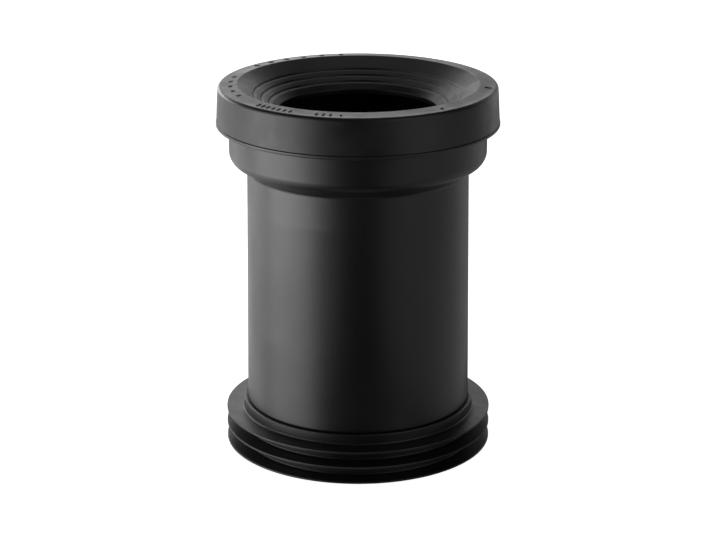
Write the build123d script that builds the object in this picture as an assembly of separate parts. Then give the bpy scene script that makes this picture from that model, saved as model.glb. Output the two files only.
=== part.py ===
"""Straight toilet pan connector: a moulded pipe with a rubber cap seal and a finned spigot seal.

Every piece is a ring about the Z axis. Each is drawn as a half section, with the distance from the
axis across and the height up, and turned through a full circle. The spigot stands on Z = 0 and the
pan end is up. All sizes are in millimetres and angles in degrees.
"""
from build123d import *
import os
from math import cos, radians, tan

# Pipe
BODY_LENGTH = 182.4
TUBE_OD = 110.0
TUBE_DRAFT = 0.6
WALL = 3.5

# Shoulder and socket
SHOULDER_STEP = 8.8
SHOULDER_HEIGHT = 6.1
SHOULDER_HEAD_ROUNDING = 6.0
SHOULDER_FOOT_ROUNDING = 0.8
SOCKET_DEPTH = 33.8

# Ribs round the socket's rim, which the cap seal grips
RIM_RIB_REACH = 2.5
RIM_RIB_HEIGHT = 3.0
RIM_ROUNDING = 0.8

# Spigot seat for the finned seal
SEAT_LENGTH = 23.1
SEAT_STEP = 1.1
SEAT_RIB_REACH = 0.8
SEAT_RIB_HEIGHT = 3.0
END_CHAMFER = 0.6
TUBE_FOOT_ROUNDING = 0.4

# Fit of both seals on the pipe
SEAL_CLEARANCE = 0.05

# Cap seal: skirt and top face
SKIRT_WALL = 2.5
SKIRT_DRAFT = 3.0
SKIRT_HEIGHT = 19.8
SKIRT_HOOK = 3.6
BEAD_HEIGHT = 1.8
BEAD_REACH = 0.3
BEAD_GROOVE = 0.4
CAP_TOP = 2.4
CAP_CROWN = 0.7
CAP_EDGE_ROUNDING = 1.8
CREST_WIDTH = 5.6
CREST_FOOT_ROUNDING = 20.0
CREST_ROUNDING = 1.0

# Cap seal: leg inside the socket, and the funnel lip
LEG_DEPTH = 4.5
LEG_WALL = 2.5
MOUTH_INSET = 0.7
LIP_THICKNESS = 2.2
CONE_REACH = 17.7
CONE_SLOPE = 31.3
TIP_REACH = 2.7
TIP_SLOPE = 40.0
TIP_LAND = 2.6
TIP_WALL = 1.9
LIP_ROUNDING = 0.6

# Grooves round the funnel lip
GROOVE_COUNT = 3
GROOVE_INSET = 8.7
GROOVE_MARGIN = 1.5
GROOVE_RADIUS = 1.0
GROOVE_DEPTH = 0.45

# Finned seal
SLEEVE_WALL = 3.05
COLLAR_HEIGHT = 5.4
COLLAR_ROUNDING = 0.6
COLLAR_BEVEL_WIDTH = 1.5
COLLAR_BEVEL_DEPTH = 0.5
FIN_COUNT = 3
FIN_REACH = 8.85
FIN_EDGE = 1.0
FIN_ROOT = 1.9
FIN_ROUNDING = 0.2
FIN_ROOT_ROUNDING = 0.9

# Heights shared by the pieces
shoulder_head_z = BODY_LENGTH - SOCKET_DEPTH
shoulder_foot_z = shoulder_head_z - SHOULDER_HEIGHT
cap_edge_z = BODY_LENGTH + SEAL_CLEARANCE + CAP_TOP
crest_z = cap_edge_z + CAP_CROWN
skirt_foot_z = cap_edge_z - SKIRT_HEIGHT
hook_top_z = skirt_foot_z + SKIRT_HOOK
sleeve_top_z = SEAT_LENGTH - SEAL_CLEARANCE
top_fin_z = sleeve_top_z - COLLAR_HEIGHT
fin_pitch = (top_fin_z - FIN_ROOT) / (FIN_COUNT - 1)
seat_rib_z = top_fin_z - fin_pitch / 2

# Radii shared by the pieces
socket_radius = TUBE_OD / 2 + SHOULDER_STEP
socket_bore = socket_radius - WALL
rim_radius = socket_radius + RIM_RIB_REACH
mouth_radius = socket_bore - MOUTH_INSET


def tube_radius(height):
    """Outside radius of the tube at a height: it widens by its draft towards the spigot."""
    return TUBE_OD / 2 + (shoulder_foot_z - height) * tan(radians(TUBE_DRAFT))


seat_radius = tube_radius(SEAT_LENGTH) - SEAT_STEP


def section(corners):
    """Half section from (radius, height, rounding) corners, in order round its edge."""
    points = [(radius, height) for radius, height, _ in corners]
    roundings = [rounding for _, _, rounding in corners]
    return make_face(Plane.XZ * FilletPolyline(*points, radius=roundings, close=True))


def turned(half_section):
    """Solid of revolution of a half section about the Z axis."""
    return revolve(half_section, Axis.Z, 360)


def seat_rib(gap):
    """Corners of the spigot's retaining rib, or with a gap those of the groove that fits over it."""
    half = SEAT_RIB_HEIGHT / 2 + gap
    return [
        (seat_radius + gap, seat_rib_z - half, 0),
        (seat_radius + SEAT_RIB_REACH + gap, seat_rib_z - half + SEAT_RIB_REACH, 0),
        (seat_radius + SEAT_RIB_REACH + gap, seat_rib_z + half - SEAT_RIB_REACH, 0),
        (seat_radius + gap, seat_rib_z + half, 0),
    ]


def connector_body():
    """Moulded pipe: spigot seat, drafted tube, rounded shoulder, and socket with a ribbed rim."""
    slope_from_wall = radians(Vector(0, 1).get_angle(Vector(SHOULDER_STEP, SHOULDER_HEIGHT)))
    bore_lift = WALL * tan(slope_from_wall / 2)
    lower_rib_z = hook_top_z + SEAL_CLEARANCE
    upper_rib_z = BODY_LENGTH - RIM_RIB_HEIGHT
    return turned(section([
        (tube_radius(0) - WALL, 0, 0),
        (seat_radius - END_CHAMFER, 0, 0),
        (seat_radius, END_CHAMFER, 0),
        *seat_rib(0),
        (seat_radius, SEAT_LENGTH, 0),
        (tube_radius(SEAT_LENGTH), SEAT_LENGTH, TUBE_FOOT_ROUNDING),
        (tube_radius(shoulder_foot_z), shoulder_foot_z, SHOULDER_FOOT_ROUNDING),
        (socket_radius, shoulder_head_z, SHOULDER_HEAD_ROUNDING),
        (socket_radius, lower_rib_z, 0),
        (rim_radius, lower_rib_z, 0),
        (rim_radius, lower_rib_z + RIM_RIB_HEIGHT, RIM_ROUNDING),
        (socket_radius, lower_rib_z + RIM_RIB_HEIGHT, RIM_ROUNDING),
        (socket_radius, upper_rib_z, RIM_ROUNDING),
        (rim_radius, upper_rib_z, RIM_ROUNDING),
        (rim_radius, BODY_LENGTH, RIM_ROUNDING),
        (socket_bore, BODY_LENGTH, RIM_ROUNDING),
        (socket_bore, shoulder_head_z + bore_lift, SHOULDER_HEAD_ROUNDING - WALL),
        (tube_radius(shoulder_foot_z) - WALL, shoulder_foot_z + bore_lift, SHOULDER_FOOT_ROUNDING + WALL),
    ]))


def pan_seal():
    """Rubber cap: skirt hooked under the rim's ribs, flat edge, raised crest, and a grooved funnel lip."""
    gap = SEAL_CLEARANCE
    skirt_top_radius = rim_radius + gap + SKIRT_WALL
    bead_top_z = skirt_foot_z + BEAD_HEIGHT
    skirt_radius = skirt_top_radius + (cap_edge_z - bead_top_z) * tan(radians(SKIRT_DRAFT))
    cone_radius = mouth_radius - CONE_REACH
    hole_radius = cone_radius - TIP_REACH
    cone_fall = tan(radians(CONE_SLOPE))
    cone_z = crest_z - CONE_REACH * cone_fall
    hole_z = cone_z - TIP_REACH * tan(radians(TIP_SLOPE))
    lip_drop = LIP_THICKNESS / cos(radians(CONE_SLOPE))
    leg_radius = socket_bore - gap
    leg_inner = leg_radius - LEG_WALL
    leg_root_z = crest_z - (mouth_radius - leg_inner) * cone_fall - lip_drop
    leg_foot_z = leg_root_z - LEG_DEPTH
    outline = section([
        (hole_radius, hole_z - TIP_LAND, LIP_ROUNDING),
        (hole_radius + TIP_WALL, hole_z - TIP_LAND, LIP_ROUNDING),
        (cone_radius, cone_z - lip_drop, CREST_ROUNDING),
        (leg_inner, leg_root_z, CREST_ROUNDING),
        (leg_inner, leg_foot_z, LIP_ROUNDING),
        (leg_radius, leg_foot_z, LIP_ROUNDING),
        (leg_radius, BODY_LENGTH + gap, RIM_ROUNDING),
        (rim_radius + gap, BODY_LENGTH + gap, RIM_ROUNDING),
        (rim_radius + gap, hook_top_z, 0),
        (socket_radius + gap, hook_top_z, 0),
        (socket_radius + gap, skirt_foot_z, BEAD_REACH),
        (skirt_radius + BEAD_REACH, skirt_foot_z, BEAD_REACH),
        (skirt_radius + BEAD_REACH, bead_top_z, BEAD_REACH),
        (skirt_radius - BEAD_GROOVE, bead_top_z, 0),
        (skirt_radius, bead_top_z + BEAD_GROOVE, 0),
        (skirt_top_radius, cap_edge_z, CAP_EDGE_ROUNDING),
        (mouth_radius + CREST_WIDTH, cap_edge_z, CREST_FOOT_ROUNDING),
        (mouth_radius, crest_z, CREST_ROUNDING),
        (cone_radius, cone_z, CREST_ROUNDING),
        (hole_radius, hole_z, LIP_ROUNDING),
    ])
    groove_span = CONE_REACH - GROOVE_INSET - GROOVE_MARGIN
    groove_lift = (GROOVE_RADIUS - GROOVE_DEPTH) / cos(radians(CONE_SLOPE))
    for index in range(GROOVE_COUNT):
        inset = GROOVE_INSET + index * groove_span / (GROOVE_COUNT - 1)
        centre = (mouth_radius - inset, crest_z - inset * cone_fall + groove_lift)
        outline -= Plane.XZ * Pos(*centre) * Circle(GROOVE_RADIUS)
    return turned(outline)


def finned_seal():
    """Rubber sleeve on the spigot's seat: a plain collar at the top and a row of thin fins."""
    bore = seat_radius + SEAL_CLEARANCE
    wall_radius = bore + SLEEVE_WALL
    rim = wall_radius + FIN_REACH
    corners = [
        *reversed(seat_rib(SEAL_CLEARANCE)),
        (bore, 0, 0),
    ]
    for index in range(FIN_COUNT):
        top = top_fin_z - (FIN_COUNT - 1 - index) * fin_pitch
        corners += [
            (wall_radius, top - FIN_ROOT, FIN_ROOT_ROUNDING),
            (rim, top - FIN_EDGE, FIN_ROUNDING),
            (rim, top, FIN_ROUNDING),
            (wall_radius, top, FIN_ROOT_ROUNDING),
        ]
    corners += [
        (wall_radius, sleeve_top_z, COLLAR_ROUNDING),
        (bore + COLLAR_BEVEL_WIDTH, sleeve_top_z, 0),
        (bore, sleeve_top_z - COLLAR_BEVEL_DEPTH, 0),
    ]
    return turned(section(corners))


PIECES = {
    "connector_body": connector_body,
    "pan_seal": pan_seal,
    "finned_seal": finned_seal,
}

os.makedirs("parts", exist_ok=True)
for name, make in PIECES.items():
    piece = make()
    piece.label = name
    export_step(piece, f"parts/{name}.step")
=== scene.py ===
"""Studio scene of a toilet pan connector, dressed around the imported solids.

The connector is three black mouldings on one upright axis: a polypropylene pipe, a rubber cap seal with a
grooved funnel lip, and a rubber sleeve with fins. Each is turned from a half section to the sizes of its
solid, with finer roundings and a smoother turn than the frame's own mesh has. A few edges are rounder than
the solid's, to catch the light as the real ones do. The overall sizes come from the frame. The mouldings'
sizes are in millimetres until a mesh is made. Meshes and the studio are in metres.
"""

import logging
import math
from dataclasses import dataclass
from enum import Enum

import bmesh
import bpy
from mathutils import Matrix, Vector

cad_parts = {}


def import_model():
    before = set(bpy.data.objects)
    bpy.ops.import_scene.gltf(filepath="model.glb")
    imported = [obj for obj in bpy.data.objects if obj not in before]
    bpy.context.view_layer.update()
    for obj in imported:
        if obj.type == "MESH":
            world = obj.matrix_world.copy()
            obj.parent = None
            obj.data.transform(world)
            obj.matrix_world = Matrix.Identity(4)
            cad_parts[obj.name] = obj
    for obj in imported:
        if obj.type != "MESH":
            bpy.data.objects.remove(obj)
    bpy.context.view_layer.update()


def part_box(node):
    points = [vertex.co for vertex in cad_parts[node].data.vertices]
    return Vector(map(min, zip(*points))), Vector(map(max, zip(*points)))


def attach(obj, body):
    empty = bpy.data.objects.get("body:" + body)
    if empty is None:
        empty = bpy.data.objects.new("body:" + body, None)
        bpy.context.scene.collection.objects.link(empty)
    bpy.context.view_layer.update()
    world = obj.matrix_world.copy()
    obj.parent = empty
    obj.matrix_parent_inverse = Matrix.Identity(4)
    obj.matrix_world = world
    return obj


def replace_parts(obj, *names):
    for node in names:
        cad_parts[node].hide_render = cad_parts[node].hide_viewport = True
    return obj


# A millimetre in metres, and the body that every piece rides on
MM = 0.001
BODY = "root"

# How finely shapes are turned and rounded, and which edges stay sharp
TURN_STEPS = 240
SWEEP_STEPS = 96
PIP_SIDES = 16
ROUNDING_STEP = math.radians(11)
FEWEST_ROUNDING_STEPS = 2
SHARP_EDGE = math.radians(32)
MERGE_DISTANCE = 1e-7

# Sizes that two pieces share, in millimetres
SEAL_GAP = 0.05
SKIRT_HOOK = 3.6
COLLAR_HEIGHT = 5.4

# Most of a noise pattern lies between these values
NOISE_LOW = 0.3
NOISE_HIGH = 0.7

log = logging.getLogger("pan_connector")


class Node(Enum):
    """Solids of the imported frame."""

    PIPE = "connector_body"
    CAP_SEAL = "pan_seal"
    FINNED_SEAL = "finned_seal"


class Slot(Enum):
    """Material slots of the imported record."""

    PIPE = "pipe"
    CAP_RUBBER = "cap_rubber"
    FIN_RUBBER = "fin_rubber"


class MarkShape(Enum):
    """Shapes of the plain raised marks on the cap."""

    BAR = "bar"
    PIP = "pip"


def linear(colour: str) -> tuple[float, float, float, float]:
    """Turns an sRGB hex colour to linear red, green, blue and alpha.

    Args:
        colour: Six hex digits, with or without a leading hash.

    Returns:
        The linear colour, with an alpha of 1.
    """
    digits = colour.lstrip("#")
    channels = [int(digits[start:start + 2], 16) / 255 for start in (0, 2, 4)]
    red, green, blue = [c / 12.92 if c <= 0.04045 else ((c + 0.055) / 1.055) ** 2.4 for c in channels]
    return red, green, blue, 1.0


def cleared_tree(owner: bpy.types.Material | bpy.types.World) -> bpy.types.NodeTree:
    """Switches on the nodes of a material or a world, and takes out the ones it starts with.

    Args:
        owner: The material or the world.

    Returns:
        Its empty node tree.
    """
    owner.use_nodes = True
    owner.node_tree.nodes.clear()
    return owner.node_tree


def add_node(tree: bpy.types.NodeTree, kind: str, settings: dict[str, object] | None = None,
             links: dict[str, bpy.types.NodeSocket] | None = None) -> bpy.types.Node:
    """Adds a node to a tree, with its settings and the links that feed it.

    Args:
        tree: The node tree.
        kind: The node's type name.
        settings: Values by name, each an input socket's or else one of the node's own properties.
        links: Output sockets by the name of the input socket that each feeds.

    Returns:
        The new node.
    """
    node = tree.nodes.new(kind)
    for name, value in (settings or {}).items():
        if name in node.inputs:
            node.inputs[name].default_value = value
        else:
            setattr(node, name, value)
    for name, output in (links or {}).items():
        tree.links.new(output, node.inputs[name])
    return node


@dataclass(frozen=True)
class Corner:
    """A corner of a half section: distance from the axis, height and rounding, in millimetres."""

    radius: float
    height: float
    rounding: float = 0.0


def round_corner(mesh: bmesh.types.BMesh, corner: bmesh.types.BMVert, rounding: float) -> None:
    """Rounds one corner of a half section while it is still a chain of edges.

    Args:
        mesh: The mesh that holds the chain.
        corner: The corner, which has two edges.
        rounding: The radius of the rounding in millimetres.
    """
    sides = [edge.other_vert(corner).co - corner.co for edge in corner.link_edges]
    opening = sides[0].angle(sides[1])
    bmesh.ops.bevel(
        mesh,
        geom=[corner],
        offset=rounding * MM / math.tan(opening / 2),
        offset_type="OFFSET",
        segments=max(FEWEST_ROUNDING_STEPS, math.ceil((math.pi - opening) / ROUNDING_STEP)),
        profile=0.5,
        affect="VERTICES",
        material=-1,
    )


def finished(name: str, mesh: bmesh.types.BMesh) -> bpy.types.Object:
    """Makes an object of a mesh, shaded smooth up to its sharp edges.

    Args:
        name: The piece's name.
        mesh: The mesh, in metres and in place. It is freed.

    Returns:
        The new object, linked to the scene.
    """
    bmesh.ops.remove_doubles(mesh, verts=mesh.verts, dist=MERGE_DISTANCE)
    bmesh.ops.recalc_face_normals(mesh, faces=mesh.faces)
    for face in mesh.faces:
        face.smooth = True
    for edge in mesh.edges:
        edge.smooth = edge.calc_face_angle(0.0) < SHARP_EDGE
    data = bpy.data.meshes.new(name)
    mesh.to_mesh(data)
    mesh.free()
    piece = bpy.data.objects.new(name, data)
    bpy.context.scene.collection.objects.link(piece)
    shading = piece.modifiers.new("flat_faces_first", "WEIGHTED_NORMAL")
    shading.keep_sharp = True
    return piece


def turned(name: str, corners: list[Corner], steps: int = TURN_STEPS,
           closed: bool = True) -> bpy.types.Object:
    """Turns a half section through a full circle about the Z axis.

    Args:
        name: The piece's name.
        corners: The corners in order round the section's edge.
        steps: How many steps make the full circle.
        closed: Whether the last corner joins the first one.

    Returns:
        The turned piece.
    """
    mesh = bmesh.new()
    points = [mesh.verts.new((corner.radius * MM, 0.0, corner.height * MM)) for corner in corners]
    ends = points[1:] + points[:1] if closed else points[1:]
    for start, end in zip(points, ends):
        mesh.edges.new((start, end))
    for point, corner in zip(points, corners):
        if corner.rounding:
            round_corner(mesh, point, corner.rounding)
    bmesh.ops.remove_doubles(mesh, verts=mesh.verts, dist=MERGE_DISTANCE)
    bmesh.ops.spin(
        mesh,
        geom=mesh.verts[:] + mesh.edges[:],
        cent=(0.0, 0.0, 0.0),
        axis=(0.0, 0.0, 1.0),
        angle=math.tau,
        steps=steps,
        use_merge=True,
    )
    return finished(name, mesh)


@dataclass(frozen=True)
class Grain:
    """An uneven pattern in a surface: its size along X, Y and Z, and how broken up it is."""

    size_mm: tuple[float, float, float]
    detail: float
    roughness: float = 0.5

    def pattern(self, tree: bpy.types.NodeTree, place: bpy.types.NodeSocket) -> bpy.types.NodeSocket:
        """Adds the nodes of the pattern.

        Args:
            tree: The material's node tree.
            place: The Object coordinates.

        Returns:
            The pattern's height, from 0 to 1.
        """
        stretch = add_node(
            tree,
            "ShaderNodeMapping",
            {"Scale": tuple(1 / (size * MM) for size in self.size_mm)},
            {"Vector": place},
        )
        noise = add_node(
            tree,
            "ShaderNodeTexNoise",
            {"Scale": 1.0, "Detail": self.detail, "Roughness": self.roughness},
            {"Vector": stretch.outputs["Vector"]},
        )
        return noise.outputs["Fac"]


@dataclass(frozen=True)
class Moulding:
    """A black moulded finish: patches of gloss, a fine skin, and over it the long marks of its mould."""

    name: str
    colour: str
    ior: float
    roughness: float
    patches: Grain
    patch_spread: float
    skin: Grain
    skin_depth_mm: float
    marks: Grain
    mark_depth_mm: float

    def material(self) -> bpy.types.Material:
        """Builds the node material.

        Returns:
            The new material.
        """
        material = bpy.data.materials.new(self.name)
        tree = cleared_tree(material)
        place = add_node(tree, "ShaderNodeTexCoord").outputs["Object"]
        shader = add_node(
            tree,
            "ShaderNodeBsdfPrincipled",
            {"Base Color": linear(self.colour), "IOR": self.ior},
            {"Roughness": self.gloss(tree, place), "Normal": self.relief(tree, place)},
        )
        add_node(tree, "ShaderNodeOutputMaterial", links={"Surface": shader.outputs["BSDF"]})
        return material

    def gloss(self, tree: bpy.types.NodeTree, place: bpy.types.NodeSocket) -> bpy.types.NodeSocket:
        """Adds the patches where the surface is a little duller or glossier.

        Args:
            tree: The material's node tree.
            place: The Object coordinates.

        Returns:
            The roughness.
        """
        spread = add_node(
            tree,
            "ShaderNodeMapRange",
            {
                "From Min": NOISE_LOW,
                "From Max": NOISE_HIGH,
                "To Min": self.roughness - self.patch_spread,
                "To Max": self.roughness + self.patch_spread,
            },
            {"Value": self.patches.pattern(tree, place)},
        )
        return spread.outputs["Result"]

    def relief(self, tree: bpy.types.NodeTree, place: bpy.types.NodeSocket) -> bpy.types.NodeSocket:
        """Adds the relief of the skin, and over it the marks of the mould.

        Args:
            tree: The material's node tree.
            place: The Object coordinates.

        Returns:
            The bumped normal.
        """
        skin = add_node(
            tree,
            "ShaderNodeBump",
            {"Strength": 1.0, "Distance": self.skin_depth_mm * MM},
            {"Height": self.skin.pattern(tree, place)},
        )
        marks = add_node(
            tree,
            "ShaderNodeBump",
            {"Strength": 1.0, "Distance": self.mark_depth_mm * MM},
            {"Height": self.marks.pattern(tree, place), "Normal": skin.outputs["Normal"]},
        )
        return marks.outputs["Normal"]


@dataclass(frozen=True)
class MouldedPolypropylene(Moulding):
    """Injection-moulded polypropylene: satin black, with a faint orange peel and draw marks up the tube."""

    # The melt cooled a little duller in broad patches, so a highlight isn't perfectly even.
    patches: Grain = Grain((16.0, 16.0, 16.0), 3.0, 0.55)
    patch_spread: float = 0.02
    # The orange peel makes a highlight's edges waver. It is drawn deeper than a real one, so that it shows.
    skin: Grain = Grain((2.2, 2.2, 2.2), 2.0)
    skin_depth_mm: float = 0.026
    # The draw marks are long along the axis, and faint.
    marks: Grain = Grain((0.9, 0.9, 60.0), 1.0)
    mark_depth_mm: float = 0.002


@dataclass(frozen=True)
class MouldedRubber(Moulding):
    """Compression-moulded rubber: duller black, with a patchy bloom and turning marks from the mould."""

    # The bloom dulls the sheen in patches.
    patches: Grain = Grain((9.0, 9.0, 9.0), 4.0, 0.6)
    patch_spread: float = 0.06
    # Real rubber's grain is finer than a pixel, so it is drawn about two pixels wide.
    skin: Grain = Grain((1.0, 1.0, 1.0), 2.0, 0.6)
    skin_depth_mm: float = 0.006
    # The turning marks are thin upright and long round the axis, and streak the sheen.
    marks: Grain = Grain((45.0, 45.0, 1.3), 2.0)
    mark_depth_mm: float = 0.014


# Satin plastic, the glossiest of the four: soft highlights that run up the tube.
PIPE_FINISH = MouldedPolypropylene("polypropylene_satin_moulded", "#0E0E0E", 1.49, 0.36)
# Satin rubber: a broader and more uneven sheen than the pipe's.
CAP_FINISH = MouldedRubber("rubber_satin_moulded", "#0D0D0D", 1.5, 0.40)
# Matt rubber: dark faces, with a dull light along the rims.
FIN_FINISH = MouldedRubber("rubber_matt_moulded", "#0B0B0B", 1.5, 0.44)
# The dullest rubber, so that the marks look dark against the cap's sheen.
MARK_FINISH = MouldedRubber("rubber_dull_raised_marks", "#0A0A0A", 1.5, 0.65)


def dressed(piece: bpy.types.Object, finish: Moulding) -> bpy.types.Object:
    """Gives a piece its finish, and lets it ride on the part's body.

    Args:
        piece: The piece, in place.
        finish: Its finish.

    Returns:
        The same piece.
    """
    piece.data.materials.append(finish.material())
    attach(piece, BODY)
    return piece


@dataclass(frozen=True)
class FinRow:
    """The spigot's row of fins: height of the top one, how many there are, and thickness at the root."""

    top_z: float
    count: int = 3
    root: float = 1.9

    @property
    def pitch(self) -> float:
        """Height from one fin to the next."""
        return (self.top_z - self.root) / (self.count - 1)

    @property
    def rib_z(self) -> float:
        """Height of the spigot's retaining rib, halfway between the two upper fins."""
        return self.top_z - self.pitch / 2

    def fin_z(self, index: int) -> float:
        """Height of a fin's upper face, counted from the lowest."""
        return self.root + index * self.pitch


@dataclass
class Pipe:
    """The moulded pipe: spigot seat, drafted tube, rounded shoulder, and socket with a ribbed rim."""

    length: float
    rim_radius: float
    hook_z: float
    fins: FinRow
    wall: float = 3.5
    rim_rib_reach: float = 2.5
    rim_rib_height: float = 3.0
    rim_rounding: float = 0.8
    socket_depth: float = 33.8
    shoulder_step: float = 8.8
    shoulder_height: float = 6.1
    shoulder_head_rounding: float = 6.0
    shoulder_foot_rounding: float = 2.0
    tube_draft: float = 0.6
    tube_foot_rounding: float = 0.4
    seat_length: float = 23.1
    seat_step: float = 1.1
    seat_rib_reach: float = 0.8
    seat_rib_height: float = 3.0
    end_chamfer: float = 0.6

    @classmethod
    def from_frame(cls) -> "Pipe":
        """Takes the pipe's length and rim, and the places of both seals on it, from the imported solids.

        Returns:
            The pipe.
        """
        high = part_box(Node.PIPE.value)[1] / MM
        hook_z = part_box(Node.CAP_SEAL.value)[0].z / MM + SKIRT_HOOK
        sleeve_top_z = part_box(Node.FINNED_SEAL.value)[1].z / MM
        fins = FinRow(sleeve_top_z - COLLAR_HEIGHT)
        return cls(length=high.z, rim_radius=high.x, hook_z=hook_z, fins=fins)

    @property
    def socket_radius(self) -> float:
        """Outside radius of the socket."""
        return self.rim_radius - self.rim_rib_reach

    @property
    def shoulder_foot_z(self) -> float:
        """Height at which the tube meets the shoulder."""
        return self.length - self.socket_depth - self.shoulder_height

    @property
    def seat_radius(self) -> float:
        """Radius of the spigot's seat, under the finned seal."""
        return self.tube_radius(self.seat_length) - self.seat_step

    def tube_radius(self, height: float) -> float:
        """Outside radius of the drafted tube at a height."""
        drop = self.shoulder_foot_z - height
        return self.socket_radius - self.shoulder_step + drop * math.tan(math.radians(self.tube_draft))

    def seat_rib(self, gap: float) -> list[Corner]:
        """Corners of the spigot's retaining rib, or with a gap those of the groove that fits over it.

        Args:
            gap: Clearance outside the rib.

        Returns:
            The corners from the lowest up.
        """
        half = self.seat_rib_height / 2 + gap
        foot = self.seat_radius + gap
        middle = self.fins.rib_z
        return [
            Corner(foot, middle - half),
            Corner(foot + self.seat_rib_reach, middle - half + self.seat_rib_reach),
            Corner(foot + self.seat_rib_reach, middle + half - self.seat_rib_reach),
            Corner(foot, middle + half),
        ]

    def section(self) -> list[Corner]:
        """Half section of the pipe.

        Returns:
            The corners in order round its edge.
        """
        foot_z = self.shoulder_foot_z
        head_z = foot_z + self.shoulder_height
        # The bore's corners are lifted, so that the wall is as thick on the shoulder's slope.
        bore_lift = self.wall * math.tan(math.atan2(self.shoulder_step, self.shoulder_height) / 2)
        bore = self.socket_radius - self.wall
        tube_head = self.tube_radius(foot_z)
        lower_z = self.hook_z + SEAL_GAP
        upper_z = self.length - self.rim_rib_height
        return [
            Corner(self.tube_radius(0) - self.wall, 0),
            Corner(self.seat_radius - self.end_chamfer, 0),
            Corner(self.seat_radius, self.end_chamfer),
            *self.seat_rib(0),
            Corner(self.seat_radius, self.seat_length),
            Corner(self.tube_radius(self.seat_length), self.seat_length, self.tube_foot_rounding),
            Corner(tube_head, foot_z, self.shoulder_foot_rounding),
            Corner(self.socket_radius, head_z, self.shoulder_head_rounding),
            Corner(self.socket_radius, lower_z),
            Corner(self.rim_radius, lower_z),
            Corner(self.rim_radius, lower_z + self.rim_rib_height, self.rim_rounding),
            Corner(self.socket_radius, lower_z + self.rim_rib_height, self.rim_rounding),
            Corner(self.socket_radius, upper_z, self.rim_rounding),
            Corner(self.rim_radius, upper_z, self.rim_rounding),
            Corner(self.rim_radius, self.length, self.rim_rounding),
            Corner(bore, self.length, self.rim_rounding),
            Corner(bore, head_z + bore_lift, self.shoulder_head_rounding - self.wall),
            Corner(tube_head - self.wall, foot_z + bore_lift, self.shoulder_foot_rounding + self.wall),
        ]

    def build(self) -> bpy.types.Object:
        """Builds and dresses the pipe in place of its solid.

        Returns:
            The pipe.
        """
        piece = dressed(turned("pipe_moulding", self.section()), PIPE_FINISH)
        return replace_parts(piece, Node.PIPE.value)


@dataclass(frozen=True)
class MarkRow:
    """A row of equal raised marks round the cap's face: first angle and pitch in degrees, sizes in mm."""

    shape: MarkShape
    first: float
    pitch: float
    count: int
    length: float
    width: float
    circle: float = 64.0
    rise: float = 0.3


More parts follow.
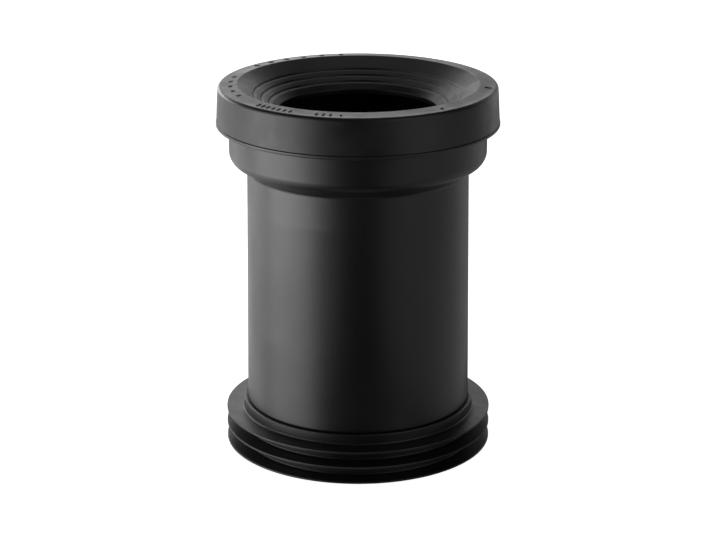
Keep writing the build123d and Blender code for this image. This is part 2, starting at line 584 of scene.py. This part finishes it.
@dataclass
class CapSeal:
    """The rubber cap: hooked skirt, flat edge, raised crest, grooved funnel lip, and plain raised marks."""

    pipe: Pipe
    foot_z: float
    bead_radius: float
    skirt_wall: float = 2.5
    skirt_height: float = 19.8
    bead_height: float = 1.8
    bead_reach: float = 0.3
    bead_groove: float = 0.25
    bead_foot_rounding: float = 0.9
    crown: float = 0.7
    edge_rounding: float = 1.8
    crest_width: float = 5.6
    crest_foot_rounding: float = 20.0
    crest_rounding: float = 1.0
    leg_depth: float = 4.5
    leg_wall: float = 2.5
    mouth_inset: float = 0.7
    lip_thickness: float = 2.2
    cone_reach: float = 17.7
    cone_slope: float = 31.3
    tip_reach: float = 2.7
    tip_slope: float = 40.0
    tip_land: float = 2.6
    tip_wall: float = 1.9
    lip_rounding: float = 0.6
    groove_count: int = 3
    groove_inset: float = 8.7
    groove_margin: float = 1.5
    groove_radius: float = 1.0
    groove_depth: float = 0.45
    groove_bed_rounding: float = 0.55
    groove_lip_rounding: float = 0.4
    mark_sink: float = 0.3
    mark_rounding: float = 0.12
    # Shape, first angle, pitch, count, length and width, then the circle and the rise where they differ
    marks: tuple[MarkRow, ...] = (
        MarkRow(MarkShape.BAR, 168.0, 9.0, 5, 2.0, 2.2, 62.6, 0.2),
        MarkRow(MarkShape.BAR, 223.0, 2.9, 7, 2.6, 0.9),
        MarkRow(MarkShape.BAR, 252.5, 3.0, 3, 2.4, 1.2),
        MarkRow(MarkShape.PIP, 263.0, 1.0, 1, 1.3, 1.3),
        MarkRow(MarkShape.PIP, 308.0, 1.0, 1, 1.7, 1.7),
        MarkRow(MarkShape.BAR, 351.6, 1.0, 1, 3.4, 0.9),
        MarkRow(MarkShape.BAR, 98.0, 9.0, 6, 2.6, 2.0),
    )

    @classmethod
    def from_frame(cls, pipe: Pipe) -> "CapSeal":
        """Takes the skirt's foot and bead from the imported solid."""
        low, high = (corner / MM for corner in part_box(Node.CAP_SEAL.value))
        return cls(pipe=pipe, foot_z=low.z, bead_radius=high.x)

    @property
    def edge_z(self) -> float:
        """Height of the face's outer edge before it is rounded."""
        return self.foot_z + self.skirt_height

    @property
    def crest_z(self) -> float:
        """Height of the mouth's crest before it is rounded."""
        return self.edge_z + self.crown

    @property
    def edge_radius(self) -> float:
        """Radius of the face's outer edge."""
        return self.pipe.rim_radius + SEAL_GAP + self.skirt_wall

    @property
    def mouth_radius(self) -> float:
        """Radius of the mouth's crest."""
        return self.pipe.socket_radius - self.pipe.wall - self.mouth_inset

    def groove(self, inset: float) -> list[Corner]:
        """Corners of one round groove in the funnel.

        Args:
            inset: How far in from the crest the groove lies, across the axis.

        Returns:
            The corners from the outer edge to the inner one.
        """
        slope = math.radians(self.cone_slope)
        inwards = Vector((-math.cos(slope), -math.sin(slope)))
        upwards = Vector((-math.sin(slope), math.cos(slope)))
        lift = self.groove_radius - self.groove_depth
        half = math.sqrt(self.groove_radius ** 2 - lift ** 2)
        # The sides leave the funnel along the groove's circle and run straight to its bed.
        bed = half - self.groove_depth * lift / half
        middle = Vector((self.mouth_radius - inset, self.crest_z - inset * math.tan(slope)))
        points = [
            (middle - inwards * half, self.groove_lip_rounding),
            (middle - upwards * self.groove_depth - inwards * bed, self.groove_bed_rounding),
            (middle - upwards * self.groove_depth + inwards * bed, self.groove_bed_rounding),
            (middle + inwards * half, self.groove_lip_rounding),
        ]
        return [Corner(point.x, point.y, rounding) for point, rounding in points]

    def grooves(self) -> list[Corner]:
        """Corners of all the grooves.

        Returns:
            The corners from the outermost groove in.
        """
        pitch = (self.cone_reach - self.groove_inset - self.groove_margin) / (self.groove_count - 1)
        insets = [self.groove_inset + index * pitch for index in range(self.groove_count)]
        return [corner for inset in insets for corner in self.groove(inset)]

    def section(self) -> list[Corner]:
        """Half section of the cap.

        Returns:
            The corners in order round its edge.
        """
        fall = math.tan(math.radians(self.cone_slope))
        cone_radius = self.mouth_radius - self.cone_reach
        cone_z = self.crest_z - self.cone_reach * fall
        hole_radius = cone_radius - self.tip_reach
        hole_z = cone_z - self.tip_reach * math.tan(math.radians(self.tip_slope))
        lip_drop = self.lip_thickness / math.cos(math.radians(self.cone_slope))
        leg_radius = self.pipe.socket_radius - self.pipe.wall - SEAL_GAP
        leg_inner = leg_radius - self.leg_wall
        leg_root_z = self.crest_z - (self.mouth_radius - leg_inner) * fall - lip_drop
        leg_foot_z = leg_root_z - self.leg_depth
        rim = self.pipe.rim_radius + SEAL_GAP
        rim_z = self.pipe.length + SEAL_GAP
        bead_top_z = self.foot_z + self.bead_height
        skirt_radius = self.bead_radius - self.bead_reach
        return [
            Corner(hole_radius, hole_z - self.tip_land, self.lip_rounding),
            Corner(hole_radius + self.tip_wall, hole_z - self.tip_land, self.lip_rounding),
            Corner(cone_radius, cone_z - lip_drop, self.crest_rounding),
            Corner(leg_inner, leg_root_z, self.crest_rounding),
            Corner(leg_inner, leg_foot_z, self.lip_rounding),
            Corner(leg_radius, leg_foot_z, self.lip_rounding),
            Corner(leg_radius, rim_z, self.pipe.rim_rounding),
            Corner(rim, rim_z, self.pipe.rim_rounding),
            Corner(rim, self.pipe.hook_z),
            Corner(self.pipe.socket_radius + SEAL_GAP, self.pipe.hook_z),
            Corner(self.pipe.socket_radius + SEAL_GAP, self.foot_z, self.bead_reach),
            Corner(self.bead_radius, self.foot_z, self.bead_foot_rounding),
            Corner(self.bead_radius, bead_top_z, self.bead_reach),
            Corner(skirt_radius - self.bead_groove, bead_top_z),
            Corner(skirt_radius, bead_top_z + self.bead_groove),
            Corner(self.edge_radius, self.edge_z, self.edge_rounding),
            Corner(self.mouth_radius + self.crest_width, self.edge_z, self.crest_foot_rounding),
            Corner(self.mouth_radius, self.crest_z, self.crest_rounding),
            *self.grooves(),
            Corner(cone_radius, cone_z, self.crest_rounding),
            Corner(hole_radius, hole_z, self.lip_rounding),
        ]

    def mark(self, mesh: bmesh.types.BMesh, row: MarkRow, angle: float) -> None:
        """Adds one raised mark to the face.

        Args:
            mesh: The mesh that takes it.
            row: The row that it belongs to.
            angle: Its place round the axis, in degrees from +X.
        """
        fall = math.atan2(self.crown, self.crest_width)
        face_z = self.crest_z - (row.circle - self.mouth_radius) * math.tan(fall)
        height = row.rise + self.mark_sink
        lift = (row.rise - self.mark_sink) / 2
        place = (
            Matrix.Rotation(math.radians(angle), 4, "Z")
            @ Matrix.Translation(Vector((row.circle, 0.0, face_z)) * MM)
            @ Matrix.Rotation(fall, 4, "Y")
            @ Matrix.Translation(Vector((0.0, 0.0, lift)) * MM)
        )
        if row.shape is MarkShape.BAR:
            size = Matrix.Diagonal((row.length * MM, row.width * MM, height * MM, 1.0))
            made = bmesh.ops.create_cube(mesh, size=1.0, matrix=place @ size)["verts"]
        else:
            radius = row.width / 2 * MM
            made = bmesh.ops.create_cone(
                mesh,
                cap_ends=True,
                segments=PIP_SIDES,
                radius1=radius,
                radius2=radius,
                depth=height * MM,
                matrix=place,
            )["verts"]
        bmesh.ops.bevel(
            mesh,
            geom=list({edge for vert in made for edge in vert.link_edges}),
            offset=self.mark_rounding * MM,
            offset_type="OFFSET",
            segments=FEWEST_ROUNDING_STEPS,
            profile=0.5,
            affect="EDGES",
            material=-1,
        )

    def build_marks(self) -> bpy.types.Object:
        """Builds and dresses the plain raised marks on the face.

        Returns:
            The marks as one piece.
        """
        mesh = bmesh.new()
        for row in self.marks:
            for index in range(row.count):
                self.mark(mesh, row, row.first + index * row.pitch)
        return dressed(finished("cap_face_marks", mesh), MARK_FINISH)

    def build(self) -> bpy.types.Object:
        """Builds and dresses the cap in place of its solid.

        Returns:
            The cap.
        """
        piece = dressed(turned("cap_seal_moulding", self.section()), CAP_FINISH)
        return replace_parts(piece, Node.CAP_SEAL.value)


@dataclass
class FinnedSeal:
    """The rubber sleeve on the spigot: a plain collar at the top and a row of thin fins."""

    pipe: Pipe
    top_z: float
    fin_radius: float
    collar_rounding: float = 0.6
    collar_bevel_width: float = 1.5
    collar_bevel_depth: float = 0.5
    fin_reach: float = 8.85
    fin_edge: float = 1.0
    fin_rounding: float = 0.2
    fin_root_rounding: float = 0.9

    @classmethod
    def from_frame(cls, pipe: Pipe) -> "FinnedSeal":
        """Takes the sleeve's top and the fins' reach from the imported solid."""
        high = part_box(Node.FINNED_SEAL.value)[1] / MM
        return cls(pipe=pipe, top_z=high.z, fin_radius=high.x)

    def section(self) -> list[Corner]:
        """Half section of the sleeve.

        Returns:
            The corners in order round its edge.
        """
        bore = self.pipe.seat_radius + SEAL_GAP
        wall = self.fin_radius - self.fin_reach
        fins = self.pipe.fins
        corners = [*reversed(self.pipe.seat_rib(SEAL_GAP)), Corner(bore, 0)]
        for index in range(fins.count):
            fin_z = fins.fin_z(index)
            # The lowest fin starts at the sleeve's foot, so there is no hollow under it to round.
            corners += [
                Corner(wall, fin_z - fins.root, self.fin_root_rounding if index else 0.0),
                Corner(self.fin_radius, fin_z - self.fin_edge, self.fin_rounding),
                Corner(self.fin_radius, fin_z, self.fin_rounding),
                Corner(wall, fin_z, self.fin_root_rounding),
            ]
        return corners + [
            Corner(wall, self.top_z, self.collar_rounding),
            Corner(bore + self.collar_bevel_width, self.top_z),
            Corner(bore, self.top_z - self.collar_bevel_depth),
        ]

    def build(self) -> bpy.types.Object:
        """Builds and dresses the sleeve in place of its solid.

        Returns:
            The sleeve.
        """
        piece = dressed(turned("finned_seal_moulding", self.section()), FIN_FINISH)
        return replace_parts(piece, Node.FINNED_SEAL.value)


def soft_light(name: str, size: tuple[float, float], radiance: float, at: Vector,
               facing: Vector) -> bpy.types.Object:
    """Adds an evenly bright rectangle that lights the object and that the camera doesn't see.

    Args:
        name: The light's name.
        size: Its width and height in metres.
        radiance: How bright its face is.
        at: Its middle, in metres.
        facing: The direction that it shines in.

    Returns:
        The light.
    """
    lamp = bpy.data.lights.new(name, "AREA")
    lamp.shape = "RECTANGLE"
    lamp.size, lamp.size_y = size
    # The power grows with the area, so that the radiance alone says how bright the face is.
    lamp.energy = radiance * math.pi * lamp.size * lamp.size_y
    light = bpy.data.objects.new(name, lamp)
    light.location = at
    light.rotation_euler = facing.to_track_quat("-Z", "Y").to_euler()
    light.visible_camera = False
    bpy.context.scene.collection.objects.link(light)
    return light


@dataclass(frozen=True)
class Softbox:
    """A soft light that faces the object.

    Its bearing is counted from the camera's side, positive to the right. Its bearing, its elevation and how
    far it spreads across and upright, as the object sees it, are in degrees. Its distance is in metres.
    """

    name: str
    bearing: float
    elevation: float
    across: float
    upright: float
    radiance: float
    distance: float = 1.3

    def place(self, target: Vector) -> bpy.types.Object:
        """Sets the light up in the scene.

        Args:
            target: The point that it faces, in metres.

        Returns:
            The light.
        """
        bearing, elevation = math.radians(self.bearing), math.radians(self.elevation)
        away = Vector((
            math.sin(bearing) * math.cos(elevation),
            -math.cos(bearing) * math.cos(elevation),
            math.sin(elevation),
        ))
        width, height = (2 * self.distance * math.tan(math.radians(spread / 2))
                         for spread in (self.across, self.upright))
        return soft_light(self.name, (width, height), self.radiance, target + away * self.distance, -away)


@dataclass(frozen=True)
class LitTable:
    """A stretch of pale table that throws light up at the object. Its edges are in metres from the axis."""

    name: str
    left: float
    right: float
    front: float
    back: float
    radiance: float
    lift: float = 0.0005

    def place(self) -> bpy.types.Object:
        """Sets the light up just over the floor.

        Returns:
            The light.
        """
        middle = Vector(((self.left + self.right) / 2, (self.front + self.back) / 2, self.lift))
        size = (self.right - self.left, self.back - self.front)
        return soft_light(self.name, size, self.radiance, middle, Vector((0.0, 0.0, 1.0)))


@dataclass
class Studio:
    """A pale sweep, softboxes, lit stretches of table, and a camera that looks a little down.

    Lengths are in metres where their names don't say otherwise, and angles are in degrees. The lights were
    found by trial, each placed and dimmed for the tones that it gives the mouldings.
    """

    sweep_radius: float = 4.0
    sweep_height: float = 3.0
    sweep_rounding: float = 1.5
    sweep_colour: str = "#F6F6F5"
    sweep_glow: float = 1.02
    target_height: float = 0.095
    camera_distance: float = 1.0516
    camera_height: float = 0.4378
    camera_pitch: float = 18.369
    focal_px: float = 2199.0
    picture_width_px: float = 716.0
    sensor_width_mm: float = 36.0
    room_radiance: float = 0.035
    # Name, bearing, elevation, spread across and upright, and radiance, then the distance of a nearer one
    softboxes: tuple[Softbox, ...] = (
        Softbox("left_softbox", -70.0, 0.0, 54.0, 60.0, 1.7),
        Softbox("left_low_softbox", -90.0, -20.0, 68.0, 60.0, 0.85),
        Softbox("left_rear_softbox", -156.0, 0.0, 72.0, 60.0, 0.66),
        Softbox("left_rear_card", -145.0, 12.7, 23.6, 23.6, 1.2, 0.431),
        Softbox("left_rear_strip", -132.5, 17.8, 44.0, 13.0, 4.2, 0.441),
        Softbox("left_back_card", -167.6, 11.6, 21.6, 15.2, 1.2, 0.523),
        Softbox("back_card", -168.0, 31.3, 44.0, 16.0, 0.85, 0.491),
        Softbox("back_high_softbox", 180.0, 40.0, 18.0, 20.0, 2.1),
        Softbox("back_top_softbox", 180.0, 60.0, 20.0, 20.0, 0.6),
        Softbox("overhead_card", 0.0, 85.0, 34.0, 34.0, 0.15),
        Softbox("right_front_fill", 48.0, 20.0, 45.0, 60.0, 0.63),
        Softbox("right_fill", 108.0, -10.0, 71.0, 40.0, 0.14),
        Softbox("right_rear_fill", 144.0, 10.0, 47.0, 40.0, 0.67),
    )
    # Name, left, right, front and back edge, and radiance
    lit_tables: tuple[LitTable, ...] = (
        LitTable("left_lit_table", -0.42, -0.235, -0.5, 0.06, 2.65),
        LitTable("left_far_lit_table", -0.9, -0.42, -0.5, 0.06, 3.1),
        LitTable("left_front_lit_table", -0.7, -0.27, -0.64, -0.5, 2.4),
        LitTable("left_near_lit_table", -0.8, -0.1, -0.5, 0.4, 0.45),
        LitTable("left_rear_lit_table", -0.8, -0.33, 0.06, 0.5, 0.9),
        LitTable("right_lit_table", 0.1, 0.8, -0.5, 0.5, 0.29),
        LitTable("front_lit_table", -0.07, 0.07, -0.095, -0.07, 0.4),
    )

    def sweep(self) -> bpy.types.Object:
        """Builds the pale floor, which turns up into a backdrop all round.

        Returns:
            The sweep.
        """
        radius = self.sweep_radius / MM
        section = [
            Corner(0.0, 0.0),
            Corner(radius, 0.0, self.sweep_rounding / MM),
            Corner(radius, self.sweep_height / MM),
        ]
        piece = turned("pale_sweep", section, SWEEP_STEPS, closed=False)
        piece.data.materials.append(self.sweep_material())
        # Only the camera sees the paper, so the mouldings mirror the lights and not a white room.
        for kind in ("visible_diffuse", "visible_glossy", "visible_transmission", "visible_shadow"):
            setattr(piece, kind, False)
        return piece

    def sweep_material(self) -> bpy.types.Material:
        """Builds the matt white paper of the sweep, lit from behind.

        Returns:
            The new material.
        """
        material = bpy.data.materials.new("matt_white_paper")
        tree = cleared_tree(material)
        colour = linear(self.sweep_colour)
        # The glow keeps the paper a plain white, also where the part shades it.
        shader = add_node(
            tree,
            "ShaderNodeBsdfPrincipled",
            {
                "Base Color": colour,
                "Roughness": 1.0,
                "Specular IOR Level": 0.0,
                "Emission Color": colour,
                "Emission Strength": self.sweep_glow,
            },
        )
        add_node(tree, "ShaderNodeOutputMaterial", links={"Surface": shader.outputs["BSDF"]})
        return material

    def surroundings(self) -> None:
        """Sets the dim room that the mouldings mirror between the softboxes."""
        world = bpy.data.worlds.new("studio_room")
        tree = cleared_tree(world)
        light = add_node(tree, "ShaderNodeBackground", {"Strength": self.room_radiance})
        add_node(tree, "ShaderNodeOutputWorld", links={"Surface": light.outputs["Background"]})
        bpy.context.scene.world = world

    def camera(self) -> bpy.types.Object:
        """Sets the camera up on the object's axis, in front and above.

        Returns:
            The camera.
        """
        lens = bpy.data.cameras.new("camera")
        lens.sensor_width = self.sensor_width_mm
        lens.lens = self.focal_px * self.sensor_width_mm / self.picture_width_px
        camera = bpy.data.objects.new("camera", lens)
        camera.location = (0.0, -self.camera_distance, self.camera_height)
        camera.rotation_euler = (math.radians(90 - self.camera_pitch), 0.0, 0.0)
        bpy.context.scene.collection.objects.link(camera)
        bpy.context.scene.camera = camera
        return camera

    def build(self) -> None:
        """Sets up the sweep, the light and the camera."""
        target = Vector((0.0, 0.0, self.target_height))
        self.sweep()
        self.surroundings()
        for softbox in self.softboxes:
            softbox.place(target)
        for table in self.lit_tables:
            table.place()
        self.camera()
        bpy.context.scene.view_settings.view_transform = "Standard"


def main() -> None:
    """Loads the frame, builds and reports each piece, and sets up the studio."""
    logging.basicConfig(level=logging.INFO, format="%(message)s")
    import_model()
    pipe = Pipe.from_frame()
    cap = CapSeal.from_frame(pipe)
    sleeve = FinnedSeal.from_frame(pipe)
    for piece in (pipe.build(), cap.build(), cap.build_marks(), sleeve.build()):
        log.info("%s: %d faces, %s", piece.name, len(piece.data.polygons), piece.data.materials[0].name)
    Studio().build()


if __name__ == "__main__":
    main()
